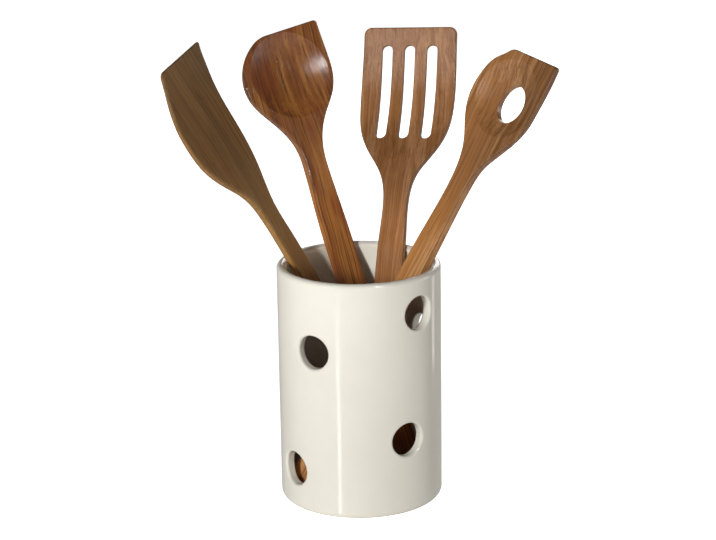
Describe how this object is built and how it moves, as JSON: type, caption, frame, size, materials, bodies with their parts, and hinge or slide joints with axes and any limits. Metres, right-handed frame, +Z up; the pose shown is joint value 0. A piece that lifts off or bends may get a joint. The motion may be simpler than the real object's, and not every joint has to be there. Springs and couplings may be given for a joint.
{
  "type": "utensil crock",
  "caption": "Straight glazed crock with round holes through its wall, holding a wooden turner, a spatula and corner spoons that lean on the rim and lift out.",
  "frame": {"origin": "centre of the crock's flat underside", "axes": "+Z up along the crock's axis, -Y to the front, +X to the right"},
  "size_m": [0.2383, 0.1618, 0.2853],
  "materials": {
    "crock_glaze": "gloss",
    "turner_wood": "satin",
    "spatula_wood": "satin",
    "corner_spoon_wood": "satin",
    "holed_spoon_wood": "satin"
  },
  "bodies": {
    "crock": {"crock": "crock_glaze"},
    "turner": {"slotted_turner": "turner_wood"},
    "spatula": {"flat_spatula": "spatula_wood"},
    "corner_spoon": {"corner_spoon": "corner_spoon_wood"},
    "holed_spoon": {"holed_spoon": "holed_spoon_wood"}
  },
  "joints": [
    {"name": "turner_lift", "type": "slide", "parent": "crock", "child": "turner", "axis": [0.1087, 0.4677, 0.8772], "range_m": [0, 0.175]},
    {"name": "spatula_lift", "type": "slide", "parent": "crock", "child": "spatula", "axis": [-0.4648, -0.053, 0.8838], "range_m": [0, 0.175]},
    {"name": "corner_spoon_lift", "type": "slide", "parent": "crock", "child": "corner_spoon", "axis": [-0.287, 0.3175, 0.9038], "range_m": [0, 0.175]},
    {"name": "holed_spoon_lift", "type": "slide", "parent": "crock", "child": "holed_spoon", "axis": [0.4725, 0.0585, 0.8794], "range_m": [0, 0.175]}
  ]
}
